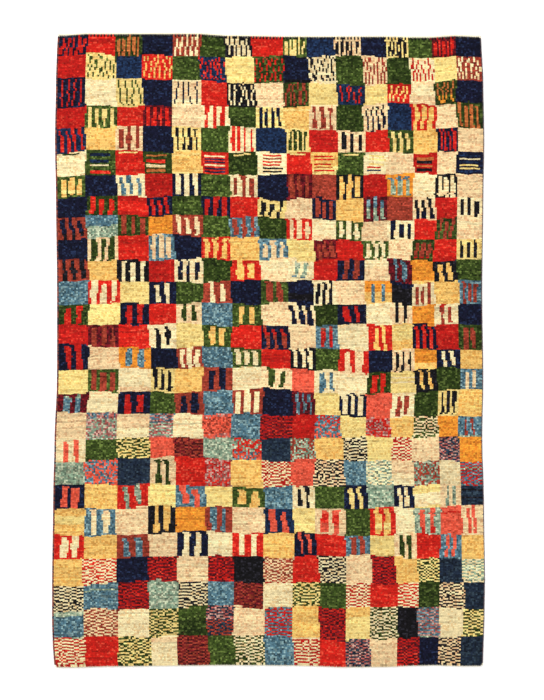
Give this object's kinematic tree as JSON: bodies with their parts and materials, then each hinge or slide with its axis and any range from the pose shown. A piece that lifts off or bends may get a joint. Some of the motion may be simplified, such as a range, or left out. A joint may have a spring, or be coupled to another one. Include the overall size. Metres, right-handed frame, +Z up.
{
  "type": "gabbeh rug",
  "caption": "Hand-knotted wool gabbeh rug lying flat, with a chequered pile in many colours, flat-woven end strips and overcast sides.",
  "frame": {"origin": "on the floor, under the middle of the rug's box", "axes": "+Z up from the floor, +Y along the rug's length towards the far end, +X across it to the right"},
  "size_m": [1.216, 1.7842, 0.0125],
  "materials": {
    "pile_wool": "hand-knotted wool pile in many dyed colours, matte with a soft sheen, on a woven wool ground",
    "cord_wool": "wool yarn in dark red and navy, wound tightly round the side warps"
  },
  "bodies": {
    "root": {"rug_cloth": "pile_wool", "side_cord_left": "cord_wool", "side_cord_right": "cord_wool"}
  },
  "joints": []
}
